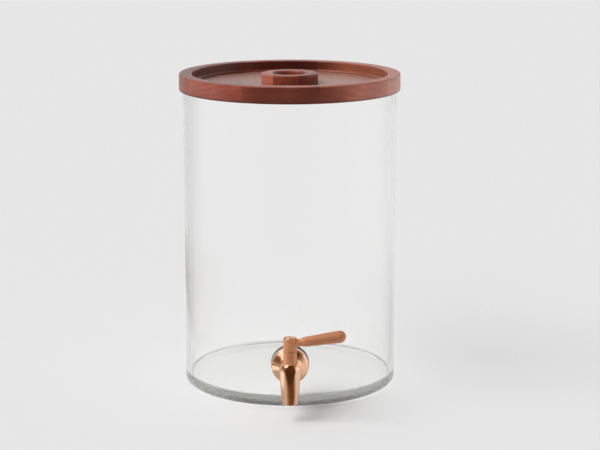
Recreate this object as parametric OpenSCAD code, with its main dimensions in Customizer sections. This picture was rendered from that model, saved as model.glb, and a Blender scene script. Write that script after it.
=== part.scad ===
// Glass beverage dispenser: a straight glass jar with a loose wooden lid and a quarter-turn tap.
// The jar stands on z = 0 around the Z axis. The tap faces -Y, and its lever points to +X when shut.

/* [Jar] */
// Outer diameter of the glass jar
jar_d = 199; // [170:1:260]
// Height of the jar from its foot to its rim
jar_h = 282.5; // [180:0.5:360]
// Thickness of the glass wall
jar_wall = 4.5; // [3.5:0.1:7]
// Thickness of the glass floor
jar_floor = 10; // [6:0.5:16]
// Radius of the rounded heel under the jar
heel_r = 6; // [2:0.5:9]
// Radius between the inside wall and the floor
floor_fillet = 2; // [1:0.5:10]
// Radius that rounds the two edges of the rim
rim_round = 1.4; // [0.5:0.1:1.5]

/* [Lid] */
// Thickness of the lid at its rim
lid_t = 15.5; // [14:0.5:24]
// Depth of the tray in the top of the lid
tray_depth = 10; // [5:0.5:10.5]
// Radius of the cove between the tray's wall and its floor
tray_cove = 3; // [1:0.5:5]
// Width of the wood outside the groove
lid_lip = 2.7; // [2:0.1:12]
// Width of the wood between the groove and the tray
tray_wall = 3; // [1:0.1:6]
// Radius that eases the lid's edges
lid_ease = 1.2; // [0.4:0.1:2]
// How far the jar's rim reaches into the groove
rim_grip = 4; // [2:0.5:6]
// Room between the glass and each side of the groove
groove_room = 0.8; // [0.5:0.1:2]
// Thickness of the silicone ring in the groove
seal_t = 2; // [1:0.25:3]

/* [Ring pull] */
// Outer diameter of the ring pull
pull_d = 53; // [46:0.5:80]
// Diameter of its finger hole
pull_hole_d = 30.5; // [20:0.5:34]
// Height of the ring pull above the tray
pull_h = 10; // [7:0.5:24]
// Radius that eases the ring's edges
pull_ease = 1.8; // [0.5:0.1:2.5]
// Number of screws that hold the ring
screw_count = 3; // [2:1:6]
// Diameter of a screw's shank
screw_d = 4; // [3:0.1:4.5]
// Diameter of a screw's countersunk head
screw_head_d = 8; // [6:0.1:9]
// Wood left above a screw's point
screw_cover = 3; // [1.5:0.5:4]
// Depth of the screws' cross recess
screw_cross_depth = 1.1; // [0.6:0.1:1.4]

/* [Tap fixing] */
// Height of the tap's shank above the foot of the jar
tap_z = 41; // [34:0.5:80]
// Diameter of the threaded shank
shank_d = 14; // [12:0.5:18]
// Pitch of the shank's thread
thread_pitch = 1.5; // [1:0.25:2]
// Depth of the shank's thread
thread_depth = 0.7; // [0.4:0.1:0.9]
// Room between the shank and the hole in the glass
hole_room = 1; // [0.7:0.1:2]
// Diameter of the rosette
rosette_d = 34; // [30:0.5:44]
// Height of the rosette's straight edge
rosette_edge = 1.5; // [0.5:0.1:3]
// Radius of the rosette's dome
rosette_dome = 5.5; // [4:0.1:6.5]
// How far the dome curves over before it turns into the hollow, in degrees
rosette_sweep = 70; // [55:1:80]
// How far the rosette's front end stands proud of the barrel
rosette_lip = 0.6; // [0.2:0.1:1.2]
// Diameter of the two gaskets
gasket_d = 34; // [26:0.5:34]
// Thickness of each gasket at its middle
gasket_t = 2.5; // [2:0.1:4]
// Diameter of the washer under the nut
washer_d = 26; // [22:0.5:30]
// Thickness of the washer
washer_t = 1.5; // [0.8:0.1:3]
// Size of the nut across its flats
nut_flats = 22; // [20:0.5:25]
// Thickness of the nut
nut_t = 8; // [5:0.5:12]
// Chamfer on the nut's corners
nut_chamfer = 1; // [0.3:0.1:1.6]
// Length of shank that stands past the nut
shank_past = 4; // [1:0.5:10]

/* [Tap body] */
// Distance from the glass to the axis of the spout
tap_reach = 38; // [34:0.5:60]
// Diameter of the barrel between rosette and spout
barrel_d = 16.5; // [15.5:0.1:17.5]
// Widest diameter of the elbow and spout
spout_d = 18.2; // [18:0.1:24]
// Diameter of the spout at its mouth
spout_tip_d = 14.2; // [13:0.1:16]
// Distance from the shank's axis down to the spout's mouth
spout_drop = 25.5; // [20:0.5:32]
// Height of the spout's widest place above the shank's axis
spout_belly = 5.5; // [0:0.5:8]
// Radius that rounds the spout's lip
lip_round = 0.6; // [0.2:0.1:1]
// Diameter of the neck
neck_d = 12; // [11.5:0.1:13]
// Distance from the shank's axis up to the top of the neck
neck_rise = 23; // [21:0.5:30]
// Radius of the hollow between the elbow and the neck
neck_fillet = 3; // [2:0.5:6]
// Diameter of the passage in the barrel
passage_d = 6; // [4:0.1:6.6]
// Diameter of the bore in the spout's mouth
outlet_d = 10.4; // [8:0.1:11]
// Height of the shoulder that the plug stands on, under the shank's axis
shoulder_drop = 10; // [8:0.5:12]
// Thickness of that shoulder
shoulder_t = 2; // [1:0.5:4]

/* [Valve] */
// Diameter of the plug
plug_d = 9.1; // [8.5:0.05:9.6]
// Running clearance around the plug
run_clear = 0.05; // [0.02:0.01:0.1]
// Diameter of the plug's side port
port_d = 5.4; // [4:0.1:6]
// Outer diameter of the port seal
port_seal_d = 7.8; // [7:0.1:8.2]
// Thickness of the port seal behind the plug
port_seal_t = 2.4; // [1.5:0.1:4]
// Thickness of an O-ring
o_ring_t = 1.4; // [1:0.1:1.6]
// Height of the lower O-ring above the shank's axis
o_ring_rise = 7.5; // [6.5:0.1:8]
// Distance between the two O-rings
o_ring_gap = 3.5; // [2.5:0.1:4]
// Diameter of the stop pin
pin_d = 2; // [1.5:0.1:2.4]
// Distance of the stop pin below the top of the neck
pin_drop = 6.5; // [4:0.1:7]
// Depth of the stop pin's slot in the plug
slot_depth = 1.3; // [0.8:0.1:1.6]
// Side of the square drive
drive_side = 5; // [4:0.1:5.5]
// Height of the square drive
drive_h = 5.5; // [4:0.1:6]
// How far the lever turns from shut to open, in degrees
lever_turn = 90; // [60:5:120]

/* [Lever] */
// Diameter of the hub
hub_d = 12; // [11.2:0.1:14]
// Height of the hub
hub_h = 11.8; // [11:0.1:15]
// Radius that eases the hub's edges
hub_ease = 0.6; // [0.2:0.1:1]
// Thickness of the slip washer under the hub
thrust_t = 0.3; // [0.2:0.1:1]
// How far the slip washer's edge stands back from the neck
thrust_inset = 0.6; // [0.1:0.1:0.8]
// Distance from the hub's axis to the lever's tip
lever_reach = 50; // [35:0.5:70]
// Diameter of the lever's neck
lever_neck_d = 6.8; // [5:0.1:7.5]
// Diameter of the lever where its bat begins
lever_root_d = 8.8; // [7.6:0.1:9.5]
// Diameter of the lever near its tip
lever_tip_d = 11; // [9:0.1:13]
// Distance from the hub's axis to where the bat begins
lever_root = 14; // [12:0.5:18]
// Upward tilt of the lever, in degrees
lever_tilt = 8.4; // [0:0.2:15]
// Distance of the lever's axis below the top of the hub
lever_drop = 5.6; // [5:0.1:7]
// Diameter of the cap in the hub
cap_d = 8.6; // [8:0.1:9]
// Thickness of the cap at its edge
cap_t = 1; // [0.6:0.1:1.4]
// Crown of the cap in its middle
cap_crown = 0.4; // [0.2:0.1:0.8]
// Diameter of the handle screw
handle_screw_d = 3; // [2.5:0.1:3.2]
// Diameter of the handle screw's head
handle_head_d = 5.6; // [5:0.1:6.4]
// Thickness of the handle screw's head
handle_head_t = 1.8; // [1.2:0.1:2.4]
// Length of the handle screw in the plug
handle_bite = 6; // [4:0.5:7]

/* [Fits] */
// Gap between a silicone or pressed piece and its seat
seat_gap = 0.05; // [0.02:0.01:0.1]

/* [Hidden] */
$fn = 240;
arc_step = 9;
past = 1;

jar_r = jar_d / 2;
jar_in_r = jar_r - jar_wall;

groove_in = jar_in_r - groove_room;
groove_out = jar_r + groove_room;
groove_depth = rim_grip + seal_t;
lid_r = groove_out + lid_lip;
tray_r = groove_in - tray_wall;
lid_z = jar_h - rim_grip;
tray_z = lid_z + lid_t - tray_depth;
lid_floor = lid_t - tray_depth;
screw_pcr = (pull_d + pull_hole_d) / 4;
screw_sink = (screw_head_d - screw_d) / 2;
screw_top = pull_h - screw_cover;
screw_point = screw_d / 2;

shank_r = shank_d / 2;
hole_r = shank_r + hole_room;
rosette_r = rosette_d / 2;
barrel_r = barrel_d / 2;
rosette_end_r = barrel_r + rosette_lip;
rosette_hollow = (rosette_r - rosette_dome + rosette_dome * cos(rosette_sweep) - rosette_end_r)
    / (1 - cos(rosette_sweep));
rosette_back = gasket_t;
rosette_dome_u = rosette_back + rosette_edge;
rosette_front = rosette_dome_u + (rosette_dome + rosette_hollow) * sin(rosette_sweep);
inner_face = -jar_wall - gasket_t;
washer_face = inner_face - washer_t;
nut_face = washer_face - nut_t;
shank_end = nut_face - shank_past;

spout_r = spout_d / 2;
spout_tip_r = spout_tip_d / 2;
neck_r = neck_d / 2;
neck_hollow_z = spout_belly
    + sqrt((spout_r + neck_fillet) * (spout_r + neck_fillet) - (neck_r + neck_fillet) * (neck_r + neck_fillet));
neck_hollow_turn = atan2(neck_hollow_z - spout_belly, neck_r + neck_fillet);

plug_r = plug_d / 2;
chamber_r = plug_r + run_clear;
plug_foot = -shoulder_drop + run_clear;
outlet_top = -shoulder_drop - shoulder_t;
port_r = port_d / 2;
hollow_top = port_r + 1;
seal_back = chamber_r + port_seal_t;
o_ring_r = o_ring_t / 2;
o_ring_mid = chamber_r - run_clear / 2 - o_ring_r;
pin_z = neck_rise - pin_drop;
slot_r = plug_r - slot_depth;
pin_foot = slot_r + run_clear;
drive_top = neck_rise + drive_h;

hub_foot = neck_rise + thrust_t + run_clear;
hub_top = hub_foot + hub_h;
hub_r = hub_d / 2;
web_foot = drive_top + run_clear;
head_seat = hub_top - cap_t - handle_head_t - 2 * seat_gap;
lever_z = hub_top - lever_drop;
lever_tip_r = lever_tip_d / 2;
lever_plain = hub_r + (lever_root - hub_r) / 3;

// Points along an arc, from one angle to another
function arc(centre, radius, from, to) =
    let (steps = max(1, ceil(abs(to - from) / arc_step)))
    [for (i = [0 : steps])
        let (a = from + (to - from) * i / steps)
        [centre[0] + radius * cos(a), centre[1] + radius * sin(a)]];

// The shank's axis, with local z pointing out of the glass from its outer face and local y up
module on_shank() {
    translate([0, -jar_r, tap_z]) rotate([90, 0, 0]) children();
}

// The spout's axis, with local z up from the level of the shank's axis
module on_spout() {
    translate([0, -jar_r - tap_reach, tap_z]) children();
}

// A flat ring along local z
module ring(outer, inner, from, to) {
    translate([0, 0, from]) difference() {
        cylinder(r = outer, h = to - from);
        translate([0, 0, -past]) cylinder(r = inner, h = to - from + 2 * past);
    }
}

// A turned ring with its upper edges rounded
module eased_ring(outer, inner, height, ease) {
    rotate_extrude() polygon(concat(
        [[inner, 0], [outer, 0]],
        arc([outer - ease, height - ease], ease, 0, 90),
        arc([inner + ease, height - ease], ease, 90, 180)));
}

module glass_jar() {
    color([0.82, 0.9, 0.88, 0.35]) difference() {
        rotate_extrude() polygon(concat(
            [[0, 0]],
            arc([jar_r - heel_r, heel_r], heel_r, -90, 0),
            arc([jar_r - rim_round, jar_h - rim_round], rim_round, 0, 90),
            arc([jar_in_r + rim_round, jar_h - rim_round], rim_round, 90, 180),
            arc([jar_in_r - floor_fillet, jar_floor + floor_fillet], floor_fillet, 0, -90),
            [[0, jar_floor]]));
        on_shank() translate([0, 0, -jar_r]) cylinder(r = hole_r, h = jar_r + past);
    }
}

module lid_profile() {
    polygon(concat(
        [[0, 0], [groove_in, 0], [groove_in, groove_depth], [groove_out, groove_depth], [groove_out, 0]],
        arc([lid_r - lid_ease, lid_ease], lid_ease, -90, 0),
        arc([lid_r - lid_ease, lid_t - lid_ease], lid_ease, 0, 90),
        arc([tray_r + lid_ease, lid_t - lid_ease], lid_ease, 90, 180),
        arc([tray_r - tray_cove, lid_floor + tray_cove], tray_cove, 0, -90),
        [[0, lid_floor]]));
}

// Places one copy on each screw's axis, at the underside of the lid
module at_screws() {
    for (i = [0 : screw_count - 1])
        rotate(i * 360 / screw_count + 90) translate([screw_pcr, 0, lid_z]) children();
}

module lid_board() {
    color([0.42, 0.2, 0.13]) difference() {
        translate([0, 0, lid_z]) rotate_extrude() lid_profile();
        at_screws() {
            translate([0, 0, -past]) cylinder(d = screw_d + 2 * seat_gap, h = lid_floor + 2 * past);
            cylinder(r1 = screw_head_d / 2 + seat_gap, r2 = screw_d / 2 + seat_gap, h = screw_sink);
            translate([0, 0, -past]) cylinder(r = screw_head_d / 2 + seat_gap, h = past);
        }
    }
}

module lid_ring_pull() {
    color([0.5, 0.26, 0.18]) difference() {
        translate([0, 0, tray_z]) eased_ring(pull_d / 2, pull_hole_d / 2, pull_h, pull_ease);
        at_screws() cylinder(d = screw_d + 2 * seat_gap, h = lid_floor + screw_top + seat_gap);
    }
}

module pull_screws() {
    color([0.75, 0.76, 0.78]) at_screws() difference() {
        union() {
            cylinder(r1 = screw_head_d / 2, r2 = screw_d / 2, h = screw_sink);
            cylinder(d = screw_d, h = lid_floor + screw_top - screw_point);
            translate([0, 0, lid_floor + screw_top - screw_point])
                cylinder(r1 = screw_d / 2, r2 = screw_d / 8, h = screw_point);
        }
        for (turn = [0, 90]) rotate(turn)
            translate([-screw_head_d / 4, -screw_d / 8, -past])
                cube([screw_head_d / 2, screw_d / 4, screw_cross_depth + past]);
    }
}

module lid_seal() {
    color([0.9, 0.9, 0.88])
        ring(groove_out - seat_gap, groove_in + seat_gap, jar_h, jar_h + seal_t);
}

// The vertical body: spout, elbow and neck turned round the spout's axis
module spout_and_neck() {
    rotate_extrude() polygon(concat(
        [[0, -spout_drop]],
        arc([spout_tip_r - lip_round, -spout_drop + lip_round], lip_round, -90, 0),
        [for (turn = [arc_step : arc_step : 90])
            [spout_tip_r + (spout_r - spout_tip_r) * sin(turn),
                -spout_drop + lip_round + (spout_drop + spout_belly - lip_round) * turn / 90]],
        arc([0, spout_belly], spout_r, arc_step, neck_hollow_turn),
        arc([neck_r + neck_fillet, neck_hollow_z], neck_fillet, 180 + neck_hollow_turn - arc_step / 2, 180),
        [[neck_r, neck_rise], [0, neck_rise]]));
}

// The shank with its thread drawn as plain rings
module threaded_shank() {
    turns = floor((inner_face - shank_end) / thread_pitch);
    rotate_extrude() polygon(concat(
        [[0, shank_end], [shank_r - thread_depth, shank_end]],
        [for (i = [0 : turns - 1])
            each [[shank_r, shank_end + (i + 0.5) * thread_pitch],
                [shank_r - thread_depth, shank_end + (i + 1) * thread_pitch]]],
        [[shank_r, inner_face], [shank_r, rosette_front], [0, rosette_front]]));
}

module tap_body() {
    color([0.72, 0.45, 0.3]) difference() {
        union() {
            on_spout() spout_and_neck();
            on_shank() {
                threaded_shank();
                translate([0, 0, rosette_front]) cylinder(r = barrel_r, h = tap_reach - rosette_front);
            }
        }
        on_spout() {
            translate([0, 0, -shoulder_drop]) cylinder(r = chamber_r, h = shoulder_drop + neck_rise + past);
            translate([0, 0, outlet_top - past]) cylinder(r = port_r, h = shoulder_t + 2 * past);
            translate([0, 0, -spout_drop - past]) cylinder(d = outlet_d, h = spout_drop + outlet_top + past);
            translate([0, 0, pin_z]) rotate([-90, 0, 0]) cylinder(d = pin_d + 2 * seat_gap, h = spout_r);
            rotate([-90, 0, 0]) cylinder(d = port_seal_d + 2 * seat_gap, h = seal_back + seat_gap);
        }
        on_shank() translate([0, 0, shank_end - past])
            cylinder(d = passage_d, h = tap_reach - shank_end + past);
    }
}

module tap_rosette() {
    color([0.78, 0.5, 0.35]) on_shank() rotate_extrude() polygon(concat(
        [[shank_r + seat_gap, rosette_back], [rosette_r, rosette_back]],
        arc([rosette_r - rosette_dome, rosette_dome_u], rosette_dome, 0, rosette_sweep),
        arc([rosette_end_r + rosette_hollow, rosette_front], rosette_hollow,
            180 + rosette_sweep - arc_step, 180),
        [[shank_r + seat_gap, rosette_front]]));
}

module outer_gasket() {
    color([0.1, 0.1, 0.1]) difference() {
        on_shank() ring(gasket_d / 2, shank_r + seat_gap, -jar_wall, gasket_t);
        difference() {
            cylinder(r = jar_r + seat_gap, h = jar_h);
            on_shank() translate([0, 0, -jar_wall - past])
                cylinder(r = hole_r - seat_gap, h = jar_wall + gasket_t + past);
        }
    }
}

module inner_gasket() {
    color([0.1, 0.1, 0.1]) intersection() {
        on_shank() ring(gasket_d / 2, shank_r + seat_gap, inner_face, 0);
        cylinder(r = jar_in_r - seat_gap, h = jar_h);
    }
}

module shank_washer() {
    color([0.75, 0.76, 0.78]) on_shank() ring(washer_d / 2, shank_r + seat_gap, washer_face, inner_face);
}

module lock_nut() {
    corner_r = nut_flats / 2 / cos(30);
    color([0.72, 0.45, 0.3]) on_shank() difference() {
        intersection() {
            translate([0, 0, nut_face]) cylinder(r = corner_r, h = nut_t, $fn = 6);
            translate([0, 0, nut_face])
                cylinder(r1 = corner_r - nut_chamfer, r2 = corner_r - nut_chamfer + nut_t, h = nut_t);
        }
        translate([0, 0, nut_face - past]) cylinder(r = shank_r + seat_gap, h = nut_t + 2 * past);
    }
}

module port_seal() {
    color([0.93, 0.93, 0.91]) on_spout() difference() {
        rotate([-90, 0, 0]) ring(port_seal_d / 2, port_r, 0, seal_back);
        translate([0, 0, -port_seal_d]) cylinder(r = chamber_r, h = 2 * port_seal_d);
    }
}

module stop_pin() {
    color([0.75, 0.76, 0.78]) on_spout() translate([0, pin_foot, pin_z])
        rotate([-90, 0, 0]) cylinder(d = pin_d, h = neck_r - pin_foot);
}

module thrust_washer() {
    color([0.95, 0.95, 0.95]) on_spout()
        ring(neck_r - thrust_inset, drive_side / sqrt(2) + run_clear, neck_rise, neck_rise + thrust_t);
}

// The groove that holds one O-ring
module o_ring_groove(height) {
    room = o_ring_r + seat_gap;
    rotate_extrude() translate([o_ring_mid - room, height - room]) square([o_ring_t + past, 2 * room]);
}

module valve_plug() {
    color([0.8, 0.66, 0.4]) on_spout() difference() {
        union() {
            translate([0, 0, plug_foot]) cylinder(r = plug_r, h = neck_rise - plug_foot);
            translate([-drive_side / 2, -drive_side / 2, neck_rise - past])
                cube([drive_side, drive_side, drive_h + past]);
        }
        translate([0, 0, plug_foot - past]) cylinder(r = port_r, h = hollow_top - plug_foot + past);
        rotate([0, -90, 0]) cylinder(r = port_r, h = spout_r);
        o_ring_groove(o_ring_rise);
        o_ring_groove(o_ring_rise + o_ring_gap);
        translate([0, 0, pin_z]) {
            rotate(90) rotate_extrude(angle = lever_turn)
                translate([slot_r, -pin_d / 2 - run_clear]) square([slot_depth + past, pin_d + 2 * run_clear]);
            for (end = [0, lever_turn]) rotate(end) translate([0, slot_r, 0])
                rotate([-90, 0, 0]) cylinder(r = pin_d / 2 + run_clear, h = slot_depth + past);
        }
        translate([0, 0, drive_top - handle_bite - past])
            cylinder(d = handle_screw_d + 2 * seat_gap, h = handle_bite + 2 * past);
    }
}

module o_ring(height) {
    color([0.15, 0.15, 0.16]) on_spout() rotate_extrude() translate([o_ring_mid, height]) circle(r = o_ring_r);
}

module upper_o_ring() {
    o_ring(o_ring_rise + o_ring_gap);
}

module lower_o_ring() {
    o_ring(o_ring_rise);
}

// The bat of the lever, turned round local z from the hub's axis
module lever_bat() {
    rotate_extrude() polygon(concat(
        [[0, 0], [lever_neck_d / 2, 0], [lever_neck_d / 2, lever_plain]],
        [for (turn = [2 * arc_step : 2 * arc_step : 90])
            [lever_neck_d / 2 + (lever_root_d - lever_neck_d) / 2 * (1 - cos(2 * turn)) / 2,
                lever_plain + (lever_root - lever_plain) * turn / 90]],
        arc([0, lever_reach - lever_tip_r], lever_tip_r, 0, 90)));
}

module lever_handle() {
    color([0.66, 0.42, 0.29]) on_spout() difference() {
        union() {
            rotate_extrude() polygon(concat(
                [[0, hub_foot]],
                arc([hub_r - hub_ease, hub_foot + hub_ease], hub_ease, -90, 0),
                arc([hub_r - hub_ease, hub_top - hub_ease], hub_ease, 0, 90),
                [[0, hub_top]]));
            translate([0, 0, lever_z]) rotate([0, 90 - lever_tilt, 0]) lever_bat();
        }
        translate([-drive_side / 2 - run_clear, -drive_side / 2 - run_clear, hub_foot - past])
            cube([drive_side + 2 * run_clear, drive_side + 2 * run_clear, web_foot - hub_foot + past]);
        translate([0, 0, web_foot - past]) cylinder(d = handle_screw_d + 2 * seat_gap, h = hub_h);
        translate([0, 0, head_seat]) cylinder(d = cap_d + 2 * seat_gap, h = hub_h);
    }
}

module handle_screw() {
    drive_slot = handle_head_t / 2;
    color([0.75, 0.76, 0.78]) on_spout() difference() {
        union() {
            translate([0, 0, drive_top - handle_bite])
                cylinder(d = handle_screw_d, h = head_seat - drive_top + handle_bite);
            translate([0, 0, head_seat]) cylinder(d = handle_head_d, h = handle_head_t);
        }
        translate([0, 0, head_seat + handle_head_t - drive_slot])
            cylinder(d = handle_screw_d, h = drive_slot + past, $fn = 6);
    }
}

module hub_cap() {
    cap_r = cap_d / 2;
    crown_r = (cap_r * cap_r + cap_crown * cap_crown) / (2 * cap_crown);
    crown_half = asin(cap_r / crown_r);
    color([0.78, 0.5, 0.35]) on_spout() rotate_extrude() polygon(concat(
        [[0, hub_top - cap_t], [cap_r, hub_top - cap_t]],
        [for (i = [0 : 4])
            let (a = 90 - crown_half * (1 - i / 4))
            [crown_r * cos(a), hub_top + cap_crown - crown_r + crown_r * sin(a)]]));
}

glass_jar();
lid_board();
lid_ring_pull();
pull_screws();
lid_seal();
tap_body();
tap_rosette();
outer_gasket();
inner_gasket();
shank_washer();
lock_nut();
port_seal();
stop_pin();
thrust_washer();
valve_plug();
upper_o_ring();
lower_o_ring();
lever_handle();
handle_screw();
hub_cap();
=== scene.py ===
# %% [markdown]
# A glass drink dispenser, dressed for its portrait.
#
# The real object is a straight glass jar with a loose wooden lid and a small copper-coloured tap. The CAD
# model already holds every size and every joint, so this lesson loads it as a fixed frame and adds what a
# solid can't show: smooth curves, glass that bends light, wood grain, plated metal, a floor, light and a
# camera. One could dress the CAD solids alone, but their round edges are made of flat strips, which polished
# metal and glass would show. So the pieces that show are made again from the same sizes, as finer meshes.

# %% Load the frame
import math

import bmesh
import bpy
from mathutils import Matrix, Vector


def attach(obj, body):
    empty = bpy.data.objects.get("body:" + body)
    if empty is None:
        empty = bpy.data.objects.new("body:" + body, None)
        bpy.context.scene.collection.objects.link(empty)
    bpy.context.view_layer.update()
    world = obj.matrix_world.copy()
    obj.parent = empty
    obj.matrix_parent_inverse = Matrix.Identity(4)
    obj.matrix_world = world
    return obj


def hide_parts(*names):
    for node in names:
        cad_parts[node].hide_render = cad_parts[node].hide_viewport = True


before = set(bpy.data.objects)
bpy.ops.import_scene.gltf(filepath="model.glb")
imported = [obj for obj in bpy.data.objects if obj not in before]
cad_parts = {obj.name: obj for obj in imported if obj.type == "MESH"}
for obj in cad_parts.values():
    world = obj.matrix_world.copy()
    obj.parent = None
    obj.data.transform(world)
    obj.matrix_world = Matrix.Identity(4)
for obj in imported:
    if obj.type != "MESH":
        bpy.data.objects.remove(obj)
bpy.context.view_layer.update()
scene = bpy.context.scene

# %% [markdown]
# Sizes are written in millimetres, as a workshop would, and turned into metres only where a mesh is placed.
# The tap has three axes of its own: the spout's upright axis, the shank's axis through the glass, and the
# lever's axis, which leaves the hub and rises a little. A matrix for each lets a piece be drawn round its
# own axis, as on a lathe, and then be put in its place.

# %% Axes
MM = 0.001
JAR_R = 99.5
TAP_Z = 41.0
TAP_REACH = 38.0
LEVER_RISE = 29.55
LEVER_TILT = 8.4


def axis_at(x, y, z, turn=0.0, about="X"):
    spot = Matrix.Translation((x * MM, y * MM, z * MM))
    return spot @ Matrix.Rotation(math.radians(turn), 4, about) @ Matrix.Scale(MM, 4)


JAR_AXIS = axis_at(0, 0, 0)
SHANK_AXIS = axis_at(0, -JAR_R, TAP_Z, 90)
SPOUT_AXIS = axis_at(0, -JAR_R - TAP_REACH, TAP_Z)
LEVER_AXIS = axis_at(0, -JAR_R - TAP_REACH, TAP_Z + LEVER_RISE, 90 - LEVER_TILT, "Y")

# %% [markdown]
# The camera stands where the photographer stood: in front of the tap, about a metre and three quarters away
# and a little above the lid, so that the lid shows as a thin ellipse and the jar's floor as a wider one.
# These ellipses fix the distance and the height. A lens shift would keep the jar's sides upright as in the
# photograph, but it would also push the object out of every other view, so the camera simply looks down.

# %% Camera
CAMERA_BACK = 1.7567
CAMERA_UP = 0.5147
CAMERA_PITCH = 11.754
CAMERA_YAW = 0.312
LENS_MM = 113.89
SENSOR_MM = 36.0
VIEW_DEPTH = 60.0

camera_data = bpy.data.cameras.new("camera")
camera_data.lens = LENS_MM
camera_data.sensor_width = SENSOR_MM
camera_data.clip_end = VIEW_DEPTH
camera = bpy.data.objects.new("camera", camera_data)
camera.location = (0.0, -CAMERA_BACK, CAMERA_UP)
camera.rotation_euler = (math.radians(90 - CAMERA_PITCH), 0.0, math.radians(-CAMERA_YAW))
scene.collection.objects.link(camera)
scene.camera = camera
scene.view_settings.view_transform = "Standard"
print("camera", CAMERA_BACK, "m back,", LENS_MM, "mm lens")

# %% [markdown]
# A material in Blender is a graph of nodes. A few helpers keep the graphs short: they make a node and plug
# numbers or other nodes into its sockets, carry a value from one span to another, mix two colours or draw a
# stretched noise. Two more tell what kind of ray is looking: one that came through the glass, and one that
# was thrown about inside it. Everything is drawn by formulas in the object's own coordinates, in metres, so
# the grain stays on the piece.

# %% Node helpers
RISE = (0.0, 1.0)
FALL = (1.0, 0.0)


def new_finish(name):
    material = bpy.data.materials.new(name)
    material.use_nodes = True
    return material, material.node_tree.nodes["Principled BSDF"]


def plug(tree, target, values):
    for socket, value in values.items():
        if isinstance(value, bpy.types.NodeSocket):
            tree.links.new(value, target.inputs[socket])
        else:
            target.inputs[socket].default_value = value


def node(tree, kind, values=None, **settings):
    made = tree.nodes.new("ShaderNode" + kind)
    for name, value in settings.items():
        setattr(made, name, value)
    plug(tree, made, values or {})
    return made


def calc(tree, how, first, second=0.0):
    return node(tree, "Math", {0: first, 1: second}, operation=how).outputs[0]


def times(tree, first, second):
    return calc(tree, "MULTIPLY", first, second)


def flipped(tree, value):
    return times(tree, value, -1.0)


def remap(tree, value, span, to=RISE, smooth=False):
    kind = "SMOOTHSTEP" if smooth else "LINEAR"
    sockets = {"Value": value, "From Min": span[0], "From Max": span[1], "To Min": to[0], "To Max": to[1]}
    return node(tree, "MapRange", sockets, interpolation_type=kind).outputs["Result"]


def fade(tree, value, span, to=RISE):
    return remap(tree, value, span, to, smooth=True)


def pick(tree, switch, when_off, when_on):
    return remap(tree, switch, RISE, (when_off, when_on))


print("node helpers ready")

# %% Place helpers
def own_place(tree):
    return node(tree, "TexCoord").outputs["Object"]


def parts_of(tree, vector):
    return node(tree, "SeparateXYZ", {0: vector}).outputs


def length_of(tree, vector):
    return node(tree, "VectorMath", {0: vector}, operation="LENGTH").outputs["Value"]


def way_of(tree, vector):
    return parts_of(tree, node(tree, "VectorMath", {0: vector}, operation="NORMALIZE").outputs[0])


def from_upright(tree, spot):
    return length_of(tree, node(tree, "CombineXYZ", {"X": spot["X"], "Y": spot["Y"]}).outputs[0])


print("place helpers ready")

# %% Colour and skin helpers
def grey(level):
    return (level, level, level, 1.0)


def ramp(tree, factor, stops, how="LINEAR"):
    made = node(tree, "ValToRGB", {"Fac": factor})
    made.color_ramp.interpolation = how
    elements = made.color_ramp.elements
    while len(elements) < len(stops):
        elements.new(1.0)
    for element, (place, colour) in zip(elements, stops):
        element.position = place
        element.color = (*colour, 1.0)
    return made.outputs["Color"]


def blend_colours(tree, factor, first, second, how="MIX"):
    made = node(tree, "Mix", data_type="RGBA", blend_type=how)
    plug(tree, made, {0: factor, 6: first, 7: second})
    return made.outputs[2]


def stretched_noise(tree, stretch, scale, detail=2.0, twist=0.0, place=None):
    place = place or own_place(tree)
    longer = node(tree, "Mapping", {"Vector": place, "Scale": stretch})
    sockets = {"Vector": longer.outputs["Vector"], "Scale": scale, "Detail": detail, "Distortion": twist}
    return node(tree, "TexNoise", sockets).outputs["Fac"]


def bump(tree, height, strength, distance):
    sockets = {"Height": height, "Strength": strength, "Distance": distance}
    return node(tree, "Bump", sockets).outputs["Normal"]


print("colour and skin helpers ready")

# %% Ray helpers
FIRST_BOUNCE = 0.5


def seen_through_glass(tree, rays):
    entered = calc(tree, "GREATER_THAN", rays["Transmission Depth"], FIRST_BOUNCE)
    return times(tree, entered, calc(tree, "SUBTRACT", 1.0, rays["Is Diffuse Ray"]))


def thrown_about(tree, rays):
    return calc(tree, "GREATER_THAN", rays["Glossy Depth"], FIRST_BOUNCE)


print("ray helpers ready")

# %% [markdown]
# The studio is a pale sweep of floor in a bright room. Even light from all round could come from many lamps,
# but a world colour is smoother. Polished metal needs something dark to mirror, or it looks like plastic:
# here the side of the room behind the camera is dark, as it was for the photographer. The left wall is brown
# with a bright window high up, the right wall is bright below and brown above, and the back is bright. The
# camera itself only sees the plain pale background, which matches the floor, so that no horizon shows.

# %% Room
HORIZON_LEVEL = 1.35
TOP_LEVEL = 0.4
RIGHT_GAIN = 0.75
FRONT_LEVEL = 0.25
TOP_RISE = (0.05, 0.55)
FRONT_TURN = (0.2, 0.7)
RIGHT_TURN = (-0.2, 0.8)

world = bpy.data.worlds.new("studio")
scene.world = world
world.use_nodes = True
sky = world.node_tree
sky.nodes.clear()
look_way = node(sky, "TexCoord").outputs["Generated"]
look = parts_of(sky, look_way)
forward = flipped(sky, look["Y"])
room = fade(sky, look["Z"], TOP_RISE, (HORIZON_LEVEL, TOP_LEVEL))
room = times(sky, room, fade(sky, forward, FRONT_TURN, (1.0, FRONT_LEVEL)))
room = times(sky, room, fade(sky, look["X"], RIGHT_TURN, (1.0, RIGHT_GAIN)))
print("room level", HORIZON_LEVEL, "at the horizon,", TOP_LEVEL, "at the top")

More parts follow.
